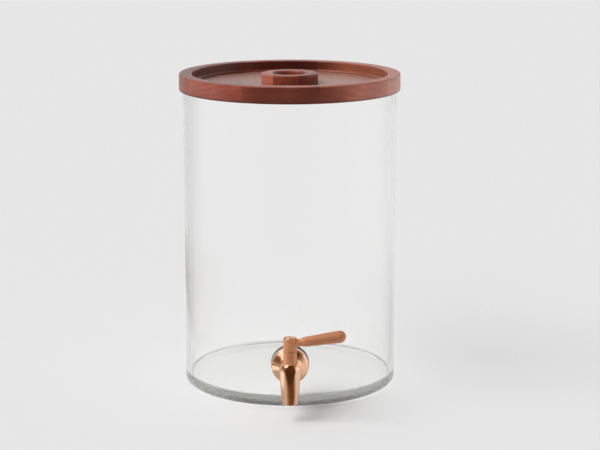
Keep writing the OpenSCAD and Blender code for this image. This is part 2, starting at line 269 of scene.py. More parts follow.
# %% Room that the metal mirrors
MIRROR_LEVEL = 0.95
MIRROR_FRONT = (0.11, 0.055, 0.02, 1.0)
MIRROR_RIGHT = 1.25
MIRROR_SIDE = (0.36, 0.28, 0.18, 1.0)
DARK_TURN = (0.2, 0.6)
DARK_TOP = (0.955, 0.99)
WALL_TURN = (0.6, 0.9)
HIGH_TURN = (-0.1, 0.3)
HIGH_RISE = (0.3, 0.7)
KEY_FROM = Vector((-225.0, -85.0, 286.0)).normalized()
WINDOW_LEVEL = 1.8
WINDOW_EDGE = (0.9, 0.97)

level_way = way_of(sky, node(sky, "CombineXYZ", {"X": look["X"], "Y": forward}).outputs[0])
in_dark = times(sky, fade(sky, level_way["Y"], DARK_TURN), fade(sky, look["Z"], DARK_TOP, FALL))
right_wall = fade(sky, look["X"], WALL_TURN, (MIRROR_LEVEL, MIRROR_RIGHT))
left_wall = fade(sky, flipped(sky, look["X"]), WALL_TURN)
high_right = times(sky, fade(sky, look["X"], HIGH_TURN), fade(sky, look["Z"], HIGH_RISE))
to_window = node(sky, "VectorMath", {0: look_way, 1: KEY_FROM}, operation="DOT_PRODUCT").outputs["Value"]
window = fade(sky, to_window, WINDOW_EDGE)
mirrored_room = blend_colours(sky, left_wall, right_wall, MIRROR_SIDE)
mirrored_room = blend_colours(sky, high_right, mirrored_room, MIRROR_SIDE)
mirrored_room = blend_colours(sky, in_dark, mirrored_room, MIRROR_FRONT)
mirrored_room = blend_colours(sky, window, mirrored_room, grey(WINDOW_LEVEL))
print("window level", WINDOW_LEVEL, "in the mirrored room")

# %% World
PALE = 0.807
THROUGH_LEVEL = 0.9
THROUGH_FRONT = 0.33

rays = node(sky, "LightPath").outputs
bent_room = pick(sky, times(sky, in_dark, thrown_about(sky, rays)), THROUGH_LEVEL, THROUGH_FRONT)
room_colour = blend_colours(sky, rays["Is Glossy Ray"], room, mirrored_room)
room_colour = blend_colours(sky, seen_through_glass(sky, rays), room_colour, bent_room)
room_colour = blend_colours(sky, rays["Is Camera Ray"], room_colour, grey(PALE))
backdrop = node(sky, "Background", {"Color": room_colour, "Strength": 1.0})
node(sky, "OutputWorld", {"Surface": backdrop.outputs[0]})
print("background level", PALE)

# %% [markdown]
# Two soft lamps make the shadows. The stronger one stands high on the left: it throws the lid's shadow far to
# the right, and the dark band inside the tray. The weaker one stands in front on the left, and the tap's
# shadow runs away from it under the jar. Sun lamps light the whole floor evenly, which area lamps would not,
# and a wide angle makes their shadows as soft as those of a big studio screen. What shines in the metal is
# the bright window of the world, not the lamps, so that the glass doesn't fill with streaks of light.

# %% Lamps
KEY_ENERGY = 1.9
KEY_ANGLE = 38.0
FRONT_FROM = Vector((-0.394, -0.678, 0.616)).normalized()
FRONT_ENERGY = 0.72
FRONT_ANGLE = 26.0


def sun_lamp(name, comes_from, energy, angle):
    lamp_data = bpy.data.lights.new(name, "SUN")
    lamp_data.energy = energy
    lamp_data.angle = math.radians(angle)
    lamp = bpy.data.objects.new(name, lamp_data)
    lamp.rotation_euler = comes_from.to_track_quat("Z", "Y").to_euler()
    lamp.visible_glossy = False
    scene.collection.objects.link(lamp)
    print(name, energy, "W/m2 from", [round(v, 2) for v in comes_from])


sun_lamp("key_lamp", KEY_FROM, KEY_ENERGY, KEY_ANGLE)
sun_lamp("front_lamp", FRONT_FROM, FRONT_ENERGY, FRONT_ANGLE)

# %% [markdown]
# Almost every piece of this object was turned on a lathe or is round, so one helper does most of the
# modelling: it turns a profile, a list of points of radius and height, round an axis. A second helper
# eases the corners of a profile, because a real edge is never quite sharp and its small round catches the
# light. Edges that stay sharper than a limit are marked, so that smooth shading doesn't smear over them.

# %% Profile helpers
def arc(centre, radius, start, end, steps):
    points = []
    for step in range(steps + 1):
        angle = math.radians(start + (end - start) * step / steps)
        points.append((centre[0] + radius * math.cos(angle), centre[1] + radius * math.sin(angle)))
    return points


def eased(corners, steps=6):
    points = []
    for index, (across, up, ease) in enumerate(corners):
        here = Vector((across, up))
        before = (Vector(corners[index - 1][:2]) - here).normalized()
        after = (Vector(corners[(index + 1) % len(corners)][:2]) - here).normalized()
        if ease == 0:
            points.append((across, up))
            continue
        half = before.angle(after) / 2
        centre = here + (before + after).normalized() * (ease / math.sin(half))
        start = here + before * (ease / math.tan(half)) - centre
        end = here + after * (ease / math.tan(half)) - centre
        for step in range(steps + 1):
            spot = centre + start.slerp(end, step / steps).normalized() * ease
            points.append((spot.x, spot.y))
    return points


print("profile helpers ready")

# %% Lathe helpers
ON_AXIS = 0.000001


def turned(profile, segments=192, loop=True):
    verts = []
    rings = []
    for across, up in profile:
        first = len(verts)
        if across < ON_AXIS:
            verts.append((0.0, 0.0, up))
            rings.append([first] * segments)
            continue
        for k in range(segments):
            angle = 2 * math.pi * k / segments
            verts.append((across * math.cos(angle), across * math.sin(angle), up))
        rings.append(list(range(first, first + segments)))
    faces = []
    following = rings[1:] + rings[:1] if loop else rings[1:]
    for low, high in zip(rings, following):
        for k in range(segments):
            n = (k + 1) % segments
            corners = list(dict.fromkeys((low[k], low[n], high[n], high[k])))
            if len(corners) > 2:
                faces.append(corners)
    return verts, faces


def joined(*shapes):
    verts = []
    faces = []
    for more_verts, more_faces in shapes:
        start = len(verts)
        verts += more_verts
        faces += [[start + index for index in face] for face in more_faces]
    return verts, faces


def moved(shape, matrix):
    verts, faces = shape
    return [tuple(matrix @ Vector(v)) for v in verts], faces


print("lathe helpers ready")

# %% Piece helpers
SHARP_TURN = 32.0


def new_object(name, shape, sharp=SHARP_TURN):
    mesh = bpy.data.meshes.new(name)
    mesh.from_pydata(shape[0], [], shape[1])
    work = bmesh.new()
    work.from_mesh(mesh)
    bmesh.ops.recalc_face_normals(work, faces=work.faces)
    work.to_mesh(mesh)
    work.free()
    mesh.polygons.foreach_set("use_smooth", [True] * len(mesh.polygons))
    mesh.set_sharp_from_angle(angle=math.radians(sharp))
    made = bpy.data.objects.new(name, mesh)
    scene.collection.objects.link(made)
    return made


def add_piece(name, shape, finish, body, replaced, sharp=SHARP_TURN):
    made = new_object(name, shape, sharp)
    made.data.materials.append(finish)
    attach(made, body)
    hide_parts(replaced)
    size = made.dimensions / MM
    print(name, len(made.data.polygons), "faces,", [round(v, 1) for v in size], "mm")
    return made


print("piece helpers ready")

# %% [markdown]
# The floor is a wide pale disc, a hair under the jar so that the two never fight for the same pixels. It
# stays a real surface, because it has to take the shadow, but a part of its paleness is its own glow, which
# keeps the far shadow faint. Seen through the glass it is painted a touch paler, to make up for what four
# glass surfaces take away. It is painted darker right under the jar, and in a strip behind each side of the
# jar: a painted shade that makes the edges of the glass draw as grey lines. What the metal and the glass
# mirror of the floor from a hand's breadth in front of the jar, just below the picture, is painted dark, as
# if the table ended there.

# %% Floor seen through the glass
# Painted light and shade on the floor seen through the glass: paler overall, darker under the jar.
FLOOR_GAIN = 1.07
UNDER_JAR_SHADE_GAIN = 0.91
UNDER_JAR_SHADE_FADE = 0.008
# Painted shade: a darker strip on the floor seen through the glass, behind each side of the jar.
PAINTED_EDGE_SHADE = 0.82
EDGE_SHADE_X = 0.095
EDGE_SHADE_START = 0.03
EDGE_SHADE_INNER = (0.1, 0.32)
EDGE_SHADE_OUTER = (0.5, 0.8)
EDGE_SHADE_BACK = (0.0, 0.3)

floor_finish, floor_shader = new_finish("studio_floor")
ground = floor_finish.node_tree
floor_rays = node(ground, "LightPath").outputs
floor_place = own_place(ground)
floor_spot = parts_of(ground, floor_place)
along = floor_spot["Y"]
jar_edge = (JAR_R * MM - UNDER_JAR_SHADE_FADE, JAR_R * MM)
painted_gain = remap(ground, length_of(ground, floor_place), jar_edge, (UNDER_JAR_SHADE_GAIN, FLOOR_GAIN))
outside = calc(ground, "SUBTRACT", calc(ground, "ABSOLUTE", floor_spot["X"]), EDGE_SHADE_X)
behind = calc(ground, "ADD", calc(ground, "MAXIMUM", along, 0.0), EDGE_SHADE_START)
beside = calc(ground, "DIVIDE", outside, behind)
in_glass = thrown_about(ground, floor_rays)
edge_shade_back = times(ground, fade(ground, beside, EDGE_SHADE_OUTER, FALL), fade(ground, along, EDGE_SHADE_BACK))
edge_shade = times(ground, fade(ground, beside, EDGE_SHADE_INNER), calc(ground, "MAXIMUM", edge_shade_back, in_glass))
painted_gain = times(ground, painted_gain, pick(ground, edge_shade, 1.0, PAINTED_EDGE_SHADE))
print("grey cards from", EDGE_SHADE_X, "m beside the jar's axis")

# %% Floor that the metal mirrors
# Painted reflection: the floor shows these colours only to mirrored rays. They are a bright strip left of the
# spout, a brighter far right, a brown far left, and dark in front, as if the table ended there.
SPOUT_FOOT = (0.02, -0.12, 0.0)
MIRROR_NEAR = 0.75
MIRROR_LEFT = 1.8
LEFT_TURN = (0.88, 0.98)
LEFT_NEAR = (0.094, 0.124)
LEFT_EDGE = (0.2, 0.26)
LEFT_FAR = (0.6, 0.9)
RIGHT_FAR_GAIN = 1.5
RIGHT_FAR_TURN = (0.3, 0.6)
RIGHT_FAR = (0.4, 0.9)
PAINTED_FRONT_TONE = (0.22, 0.11, 0.04, 1.0)
PAINTED_FRONT_TURN = (0.55, 1.0)
PAINTED_FRONT_EDGE = (-0.17, -0.148)
PAINTED_ROOM_TURN = (0.2, 0.6)
PAINTED_ROOM_EDGE = (-0.24, -0.21)

offset = node(ground, "VectorMath", {0: floor_place, 1: SPOUT_FOOT}, operation="SUBTRACT").outputs[0]
from_spout = length_of(ground, offset)
aim = way_of(ground, offset)
heading = flipped(ground, aim["Y"])
painted_dark_front = times(ground, fade(ground, heading, PAINTED_FRONT_TURN), remap(ground, along, PAINTED_FRONT_EDGE, FALL))
painted_dark_room = times(ground, fade(ground, heading, PAINTED_ROOM_TURN), remap(ground, along, PAINTED_ROOM_EDGE, FALL))
left_side = fade(ground, flipped(ground, aim["X"]), LEFT_TURN)
left_tone = fade(ground, from_spout, LEFT_NEAR, (MIRROR_NEAR, MIRROR_LEFT))
right_far = times(ground, fade(ground, aim["X"], RIGHT_FAR_TURN), fade(ground, from_spout, RIGHT_FAR))
right_tone = times(ground, fade(ground, aim["X"], WALL_TURN, (1.0, MIRROR_RIGHT)),
                   pick(ground, right_far, 1.0, RIGHT_FAR_GAIN))
off_left = times(ground, remap(ground, flipped(ground, floor_spot["X"]), LEFT_EDGE),
                 remap(ground, from_spout, LEFT_FAR, FALL))
mirrored_table = pick(ground, left_side, right_tone, left_tone)
mirrored_table = blend_colours(ground, off_left, mirrored_table, MIRROR_SIDE)
mirrored_table = blend_colours(ground, painted_dark_front, mirrored_table, PAINTED_FRONT_TONE)
mirrored_table = blend_colours(ground, painted_dark_room, mirrored_table, MIRROR_FRONT)
print("the mirrored table ends", -PAINTED_FRONT_EDGE[0], "m in front of the jar's axis")

# %% Floor
FLOOR_R = 14000.0
FLOOR_SIDES = 64
FLOOR_DROP = 0.3
FLOOR_ALBEDO = 0.8
FLOOR_ROUGH = 0.9
GLOW_NEAR = 0.1
GLOW_FAR = 0.6
GLOW_FADE = (0.04, 0.16)

bent_table = times(ground, painted_gain, pick(ground, times(ground, painted_dark_front, in_glass), 1.0, THROUGH_FRONT))
shade = blend_colours(ground, floor_rays["Is Glossy Ray"], grey(1.0), mirrored_table)
shade = blend_colours(ground, seen_through_glass(ground, floor_rays), shade, bent_table)
own_light = fade(ground, from_spout, GLOW_FADE, (GLOW_NEAR, GLOW_FAR))
own_light = pick(ground, floor_rays["Is Diffuse Ray"], own_light, 0.0)
albedo = pick(ground, own_light, FLOOR_ALBEDO, 0.0)
plug(ground, floor_shader, {
    "Base Color": blend_colours(ground, 1.0, albedo, shade, "MULTIPLY"), "Roughness": FLOOR_ROUGH,
    "Specular IOR Level": 0.0, "Emission Color": shade, "Emission Strength": times(ground, own_light, PALE)})
floor_shape = turned([(0, -FLOOR_DROP), (FLOOR_R, -FLOOR_DROP)], FLOOR_SIDES, loop=False)
floor = new_object("studio_floor", moved(floor_shape, JAR_AXIS))
floor.data.materials.append(floor_finish)
print("floor", round(floor.dimensions.x, 1), "m across")

# %% [markdown]
# The jar is clear soda-lime glass, drawn as one straight cylinder with a thick floor. Glass that is only a
# tinted see-through skin looks like foil, so this one is solid: light bends at every surface, and the thick
# floor drinks some of it, which gives the grey edge. Grey shade is painted into the glass in the corner where
# the floor meets the wall, and on the outer heel in a strip across the front and back, darker towards the
# bottom. The thick foot cooled slowly in its mould, so its skin is a little wavy.

# %% Painted shade on the glass
JAR_WALL = 4.5
JAR_FLOOR = 10.0
FLOOR_FILLET = 2.0
CORNER_SHARE = 0.3
CORNER_SHADE_FADE = (0.0006, 0.002)
CORNER_SHADE_TINT = (0.74, 0.74, 0.72, 1.0)
HEEL_SHADE_TINT = (0.33, 0.33, 0.32, 1.0)
HEEL_SHADE_FADE = (0.0035, 0.0085)
HEEL_DEPTH = 2.5
HEEL_SHADE_X = 0.01
HEEL_SHADE_SIDE = (0.045, 0.085)

clear_glass, glass_shader = new_finish("clear_glass")
glass = clear_glass.node_tree
glass_spot = parts_of(glass, own_place(glass))
glass_r = from_upright(glass, glass_spot)
corner_r = (JAR_R - JAR_WALL - FLOOR_FILLET * CORNER_SHARE) * MM
corner_z = (JAR_FLOOR + FLOOR_FILLET * CORNER_SHARE) * MM
to_corner = node(glass, "CombineXYZ", {
    "X": calc(glass, "SUBTRACT", glass_r, corner_r),
    "Y": calc(glass, "SUBTRACT", glass_spot["Z"], corner_z)}).outputs[0]
# Painted shade in the corner where the jar's floor meets its wall.
corner_shade = fade(glass, length_of(glass, to_corner), CORNER_SHADE_FADE, FALL)
# Painted shade on the outer heel, darker towards the bottom, in a strip across the front and back.
outer_skin = calc(glass, "GREATER_THAN", glass_r, (JAR_R - HEEL_DEPTH) * MM)
heel_shade = times(glass, outer_skin, fade(glass, glass_spot["Z"], HEEL_SHADE_FADE, FALL))
sideways = calc(glass, "ABSOLUTE", calc(glass, "SUBTRACT", glass_spot["X"], HEEL_SHADE_X))
heel_shade = times(glass, heel_shade, remap(glass, sideways, HEEL_SHADE_SIDE, FALL))
shaded_glass_tone = blend_colours(glass, corner_shade, grey(1.0), CORNER_SHADE_TINT)
shaded_glass_tone = blend_colours(glass, heel_shade, shaded_glass_tone, HEEL_SHADE_TINT)
print("grey film in the corner at radius", round(corner_r / MM, 1), "mm and on the heel")

# %% Clear glass
GLASS_IOR = 1.46
GLASS_SHINE = 0.2
GLASS_TURNS = 3.5
GLASS_TINT = (0.825, 0.825, 0.812, 1.0)
GLASS_DENSITY = 24.0
STREAK_SPAN = (0.35, 0.75)
STREAK_ROUGH = (0.0, 0.001)
FOOT_RISE = (0.006, 0.014)
FOOT_SKIN = (0.0955, 0.097)

streaks = stretched_noise(glass, stretch=(1.0, 1.0, 0.25), scale=60.0, detail=3.0)
on_foot = times(glass, fade(glass, glass_spot["Z"], FOOT_RISE, FALL), remap(glass, glass_r, FOOT_SKIN))
waves = times(glass, stretched_noise(glass, stretch=(1.0, 1.0, 2.5), scale=75.0), on_foot)
plug(glass, glass_shader, {
    "Base Color": shaded_glass_tone, "Roughness": remap(glass, streaks, STREAK_SPAN, STREAK_ROUGH), "IOR": GLASS_IOR,
    "Specular Tint": grey(GLASS_SHINE), "Transmission Weight": 1.0,
    "Normal": bump(glass, waves, strength=0.8, distance=0.002)})
glass_rays = node(glass, "LightPath").outputs
trapped = calc(glass, "GREATER_THAN", glass_rays["Glossy Depth"], GLASS_TURNS)
straight = calc(glass, "MAXIMUM", glass_rays["Is Shadow Ray"], trapped)
passing = node(glass, "BsdfTransparent", {"Color": grey(1.0)})
glass_mix = node(glass, "MixShader", {0: straight, 1: glass_shader.outputs[0], 2: passing.outputs[0]})
drinks_light = node(glass, "VolumeAbsorption", {"Color": GLASS_TINT, "Density": GLASS_DENSITY})
glass_out = glass.nodes["Material Output"]
plug(glass, glass_out, {"Surface": glass_mix.outputs[0], "Volume": drinks_light.outputs[0]})
print("glass bends light with an index of", GLASS_IOR)

# %% [markdown]
# The jar's profile is a wall, a round rim, a floor and a rounded heel. The hole for the tap is the one place
# where it isn't a turned shape. A boolean cut would leave long thin faces beside the hole, and glass shows
# those as kinks. So a square window is left open in the grid of the wall, on the outside and on the inside,
# and filled with rings of faces that run from the window's edge to the round hole.

# %% Jar profile
JAR_H = 282.5
HEEL_R = 6.0
RIM_ROUND = 1.4
WALL_STEP = 20
WINDOW_ROWS = 10
WINDOW_STEP = 2.7
WINDOW_FOOT = TAP_Z - WINDOW_STEP * WINDOW_ROWS / 2
FOOT_RINGS = (30, 60, 85)
FLOOR_RINGS = (80, 60, 30)


def wall_heights(low):
    high = JAR_H - RIM_ROUND
    heights = [WINDOW_FOOT + WINDOW_STEP * k for k in range(WINDOW_ROWS + 1)]
    top = heights[-1]
    below = [low, (low + WINDOW_FOOT) / 2]
    count = math.ceil((high - top) / WALL_STEP)
    above = [top + (high - top) * (k + 1) / count for k in range(count)]
    return below + heights + above


def jar_profile():
    inner = JAR_R - JAR_WALL
    low_in = JAR_FLOOR + FLOOR_FILLET
    rim_z = JAR_H - RIM_ROUND
    outside = arc((JAR_R - HEEL_R, HEEL_R), HEEL_R, -90, 0, steps=12)[:-1]
    outside += [(JAR_R, z) for z in wall_heights(HEEL_R)]
    rim = arc((JAR_R - RIM_ROUND, rim_z), RIM_ROUND, 0, 90, steps=6)[1:]
    rim += arc((inner + RIM_ROUND, rim_z), RIM_ROUND, 90, 180, steps=6)[:-1]
    inside = [(inner, z) for z in reversed(wall_heights(low_in))]
    inside += arc((inner - FLOOR_FILLET, low_in), FLOOR_FILLET, 0, -90, steps=12)[1:]
    foot = [(0, 0)] + [(r, 0) for r in FOOT_RINGS]
    floor_top = [(r, JAR_FLOOR) for r in FLOOR_RINGS] + [(0, JAR_FLOOR)]
    return foot + outside + rim + inside + floor_top


print("jar profile with", len(jar_profile()), "points")

# %% Window for the tap
HOLE_R = 8.0
JAR_COLUMNS = 480
FRONT_COLUMN = JAR_COLUMNS * 3 // 4
WINDOW_HALF = 10
PATCH_RINGS = 4
CLOSE = 0.001
WINDOW_SLACK = 0.01


def window_loop():
    half = WINDOW_HALF
    side = WINDOW_ROWS
    loop = [(-half + k, 0) for k in range(2 * half)]
    loop += [(half, k) for k in range(side)]
    loop += [(half - k, side) for k in range(2 * half)]
    loop += [(-half, side - k) for k in range(side)]
    return loop


def window_grid(verts, radius):
    half_width = radius * math.sin(2 * math.pi * WINDOW_HALF / JAR_COLUMNS) + WINDOW_SLACK
    grid = {}
    for index, (x, y, z) in enumerate(verts):
        if abs(math.hypot(x, y) - radius) < CLOSE and y < 0 and abs(x) < half_width:
            column = round(math.degrees(math.atan2(y, x)) / 360 * JAR_COLUMNS) % JAR_COLUMNS - FRONT_COLUMN
            row = (z - WINDOW_FOOT) / WINDOW_STEP
            if abs(row - round(row)) < CLOSE and 0 <= round(row) <= WINDOW_ROWS:
                grid[(column, round(row))] = index
    return grid


def band(first, second):
    count = len(first)
    return [[first[k], first[(k + 1) % count], second[(k + 1) % count], second[k]] for k in range(count)]


def rings_to_hole(verts, faces, edge, radius):
    ring = edge
    for step in range(1, PATCH_RINGS + 1):
        share = step / PATCH_RINGS
        start = len(verts)
        for index in edge:
            x, z = verts[index][0], verts[index][2] - TAP_Z
            reach = math.hypot(x, z)
            length = reach + (HOLE_R - reach) * share
            spot = (x / reach * length, z / reach * length)
            verts.append((spot[0], -math.sqrt(radius ** 2 - spot[0] ** 2), spot[1] + TAP_Z))
        following = list(range(start, len(verts)))
        faces += band(ring, following)
        ring = following
    return ring


print("window of", len(window_loop()), "edges round the tap's hole")

# %% Jar
JAR_SHARP = 50


def glass_jar_shape():
    verts, faces = turned(jar_profile(), JAR_COLUMNS, loop=False)
    rims = []
    drop = set()
    for radius in (JAR_R, JAR_R - JAR_WALL):
        grid = window_grid(verts, radius)
        window_verts = set(grid.values())
        drop |= {tuple(face) for face in faces if all(index in window_verts for index in face)}
        edge = [grid[spot] for spot in window_loop()]
        rims.append(rings_to_hole(verts, faces, edge, radius))
    faces += band(*rims)
    faces = [face for face in faces if tuple(face) not in drop]
    used = sorted({index for face in faces for index in face})
    renumber = {old: new for new, old in enumerate(used)}
    return [verts[old] for old in used], [[renumber[index] for index in face] for face in faces]


add_piece("glass_jar_clear", moved(glass_jar_shape(), JAR_AXIS), clear_glass, "jar",
          "glass_jar", sharp=JAR_SHARP)

# %% [markdown]
# The lid is a reddish-brown hardwood, glued up from a few staves that run from front to back, then turned.
# Wood could be a single noise, but a board is more than that: each stave has its own tone, growth rings lie
# round a pith that was somewhere below the board, and fine fibres and pores run along it. So the rings show
# as level streaks on the sides. The ends of the fibres, at the front and back of the rim, drink more oil and
# go darker. Shade is painted in as well: the top faces, the turned wall of the tray, the faces that look down
# and the lid's lower edge are darkened. The tray's floor gets a pale grey tone as painted sheen. The oil
# leaves a satin gloss.

# %% Staves and grain
LID_HALF = 0.11
LID_Z = 278.5
STAVE_SHIFT = (7.0, 3.0, 5.0)
PITH_DEPTH = 0.4
PITH_MIDDLE = 0.6
PITH_SPREAD = 0.3
RING_STEP = 0.006
RING_SWAY = 0.025
LATE_WOOD = (-0.2, 1.0)
PORE_SPAN = (0.6, 0.72)


def stave_values(tree, spot, staves):
    share = remap(tree, spot["X"], (-LID_HALF, LID_HALF))
    tones = [((edge + LID_HALF) / (2 * LID_HALF), (tone, end, 0.0)) for edge, tone, end in staves]
    values = node(tree, "SeparateColor", {0: ramp(tree, share, tones, "CONSTANT")}).outputs
    return values["Red"], values["Green"]


def long_grain(tree, place, stave):
    shift = node(tree, "VectorMath", {0: stave, 1: STAVE_SHIFT}, operation="MULTIPLY").outputs[0]
    board = node(tree, "VectorMath", {0: place, 1: shift}, operation="ADD").outputs[0]
    sway = stretched_noise(tree, stretch=(1.0, 0.3, 1.6), scale=22.0, detail=3.0, twist=0.4, place=board)
    fibres = stretched_noise(tree, stretch=(1.0, 0.05, 1.0), scale=700.0, detail=3.0, place=board)
    pores = stretched_noise(tree, stretch=(1.0, 0.08, 1.0), scale=1500.0, detail=1.0, place=board)
    return sway, fibres, remap(tree, pores, PORE_SPAN)


def growth_rings(tree, spot, stave, sway):
    pith_x = times(tree, calc(tree, "SUBTRACT", stave, PITH_MIDDLE), PITH_SPREAD)
    section = node(tree, "CombineXYZ", {
        "X": calc(tree, "ADD", spot["X"], pith_x),
        "Z": calc(tree, "SUBTRACT", spot["Z"], LID_Z * MM - PITH_DEPTH)}).outputs[0]
    ring_place = calc(tree, "ADD", length_of(tree, section), times(tree, sway, RING_SWAY))
    rings = calc(tree, "SINE", times(tree, ring_place, 2 * math.pi / RING_STEP))
    return fade(tree, rings, LATE_WOOD)


print("growth rings every", RING_STEP / MM, "mm")

# %% Oil, painted shade and painted sheen
PULL_R = 26.5
TRAY_R = 91.2
SHEEN_SHARE = 0.5
LOW_SHADE = 0.7
PORE_SHADE = 0.2
TOP_TURN = (0.6, 0.95)
UNDER_TURN = (-0.7, -0.1)
END_TINT = (0.38, 0.31, 0.28, 1.0)
# Painted shade on the top faces.
TOP_SHADE_TINT = (0.62, 0.52, 0.45, 1.0)
# Painted shade on the tray's turned wall.
WALL_SHADE_TINT = (0.56, 0.51, 0.49, 1.0)
# Painted shade on faces that look down and on the lid's lower edge.
UNDER_SHADE_TINT = (0.4, 0.42, 0.44, 1.0)
PORE_TINT = (0.5, 0.42, 0.4, 1.0)
# Painted sheen on the tray's floor: a pale grey tone blended in.
PAINTED_SHEEN_TONE = (0.34, 0.23, 0.19, 1.0)


def span_from(start, *offsets):
    return tuple((start + offset) * MM for offset in offsets)


COVE_SPAN = span_from(TRAY_R, -4.0, -2.0)
RIM_SPAN = span_from(TRAY_R, 0.2, 0.9)
PULL_SPAN = span_from(PULL_R, 0.0, 1.0)
LOW_SPAN = span_from(LID_Z, 0.8, 3.0)


def oiled(tree, colour, spot, facing, end_grain, pores):
    # painted shade: faces that point up are darkened
    top = fade(tree, facing, TOP_TURN)
    radius = from_upright(tree, spot)
    # painted shade on the tray's turned wall, a recess
    wall_shade = times(tree, remap(tree, radius, COVE_SPAN), remap(tree, radius, RIM_SPAN, FALL))
    # painted sheen on the tray's floor, between the ring pull and the cove
    tray_sheen = times(tree, remap(tree, radius, PULL_SPAN, (0.0, SHEEN_SHARE)), remap(tree, radius, COVE_SPAN, FALL))
    # painted shade under the lid and along its lower edge
    low_edge_shade = fade(tree, spot["Z"], LOW_SPAN, (LOW_SHADE, 0.0))
    under_shade = calc(tree, "MAXIMUM", fade(tree, facing, UNDER_TURN, FALL), low_edge_shade)
    shades = ((end_grain, END_TINT), (top, TOP_SHADE_TINT), (wall_shade, WALL_SHADE_TINT), (under_shade, UNDER_SHADE_TINT),
              (times(tree, pores, PORE_SHADE), PORE_TINT))
    for factor, tint in shades:
        colour = blend_colours(tree, factor, colour, tint, "MULTIPLY")
    return blend_colours(tree, times(tree, tray_sheen, top), colour, PAINTED_SHEEN_TONE)


print("the tray's dry floor runs from", PULL_R, "to", TRAY_R, "mm")

# %% Oiled wood
LID_STAVES = (
    (-0.11, 0.36, 0.0), (-0.092, 0.38, 0.15), (-0.0434, 0.5, 1.0), (0.026, 0.72, 1.0), (0.088, 0.84, 1.0))
WOOD_TONES = (
    (0.0, (0.12, 0.021, 0.01)), (0.35, (0.25, 0.048, 0.025)), (0.6, (0.4, 0.1, 0.055)),
    (1.0, (0.6, 0.22, 0.13)))
NOISE_SPAN = (0.3, 0.7)
END_TURN = (0.78, 0.99)
RING_DEPTH = (0.08, 0.03)
FIBRE_TONE = (-0.07, 0.07)
SWAY_TONE = (-0.15, 0.15)
WOOD_ROUGH = (0.34, 0.46)


def oiled_wood(name, staves):
    material, shader = new_finish(name)
    tree = material.node_tree
    place = own_place(tree)
    spot = parts_of(tree, place)
    facing = parts_of(tree, node(tree, "NewGeometry").outputs["Normal"])
    stave, stave_end = stave_values(tree, spot, staves)
    sway, fibres, pores = long_grain(tree, place, stave)
    late_wood = growth_rings(tree, spot, stave, sway)
    end_grain = fade(tree, calc(tree, "ABSOLUTE", facing["Y"]), END_TURN, (0.0, stave_end))
    value = calc(tree, "SUBTRACT", stave, times(tree, late_wood, remap(tree, end_grain, RISE, RING_DEPTH)))
    value = calc(tree, "ADD", value, remap(tree, fibres, NOISE_SPAN, FIBRE_TONE))
    value = calc(tree, "ADD", value, remap(tree, sway, NOISE_SPAN, SWAY_TONE))
    colour = oiled(tree, ramp(tree, value, WOOD_TONES), spot, facing["Z"], end_grain, pores)
    height = calc(tree, "SUBTRACT", fibres, pores)
    plug(tree, shader, {
        "Base Color": colour, "Roughness": remap(tree, fibres, NOISE_SPAN, WOOD_ROUGH),
        "Normal": bump(tree, height, strength=0.12, distance=0.0003)})
    return material


lid_wood = oiled_wood("oiled_wood", LID_STAVES)
print("wood with", len(LID_STAVES), "staves")

# %% [markdown]
# The lid's profile goes from the groove that sits on the glass, round the outside, over the rim, and down a
# cove to the tray's floor. The three countersinks for the screws underneath are cut with a boolean: that face
# is flat, so the cut leaves no kinks.

# %% Lid
LID_R = 103.0
LID_TOP = 294.0
TRAY_Z = 284.0
TRAY_COVE = 3.0
LID_EASE = 1.2
LID_SIDES = 256
GROOVE_IN = 94.2
GROOVE_OUT = 100.3
GROOVE_TOP = 284.5
GROOVE_EASE = 0.3
INNER_LIP_EASE = 0.4
OUTER_LIP_EASE = 0.5

lid_corners = [
    (0, LID_Z, 0), (GROOVE_IN, LID_Z, INNER_LIP_EASE), (GROOVE_IN, GROOVE_TOP, GROOVE_EASE),
    (GROOVE_OUT, GROOVE_TOP, GROOVE_EASE), (GROOVE_OUT, LID_Z, OUTER_LIP_EASE), (LID_R, LID_Z, LID_EASE),
    (LID_R, LID_TOP, LID_EASE), (TRAY_R, LID_TOP, LID_EASE), (TRAY_R, TRAY_Z, TRAY_COVE), (0, TRAY_Z, 0)]
lid_shape = moved(turned(eased(lid_corners, steps=8), LID_SIDES, loop=False), JAR_AXIS)
lid_board = add_piece("lid_board_turned", lid_shape, lid_wood, "lid", "lid_board")

# %% Countersinks
SCREW_RING_R = 20.875
SCREW_TURNS = (90, 210, 330)
SCREW_R = 2.05
SCREW_HEAD_R = 4.05
SCREW_SINK = 2.0
SCREW_HOLE = 4.5
SINK_BELOW = -1.0
SINK_SIDES = 48

sink_profile = [
    (0, SINK_BELOW), (SCREW_HEAD_R, SINK_BELOW), (SCREW_HEAD_R, 0), (SCREW_R, SCREW_SINK),
    (SCREW_R, SCREW_HOLE), (0, SCREW_HOLE)]
sink_shapes = []
for turn in SCREW_TURNS:
    screw_x = SCREW_RING_R * math.cos(math.radians(turn))
    screw_y = SCREW_RING_R * math.sin(math.radians(turn))
    sink_shapes.append(moved(turned(sink_profile, SINK_SIDES, loop=False), axis_at(screw_x, screw_y, LID_Z)))
cutter = new_object("countersink_cutter", joined(*sink_shapes))
cut = lid_board.modifiers.new("countersinks", "BOOLEAN")
cut.operation = "DIFFERENCE"
cut.object = cutter
cut.solver = "EXACT"
cut_lid = lid_board.evaluated_get(bpy.context.evaluated_depsgraph_get())
lid_board.data = bpy.data.meshes.new_from_object(cut_lid)
lid_board.modifiers.clear()
bpy.data.objects.remove(cutter)
print("lid with countersinks:", len(lid_board.data.polygons), "faces")

# %% [markdown]
# The ring pull in the middle of the tray is turned from the same wood, with a hole for a fingertip and well
# rounded edges, where hands wear it smooth.

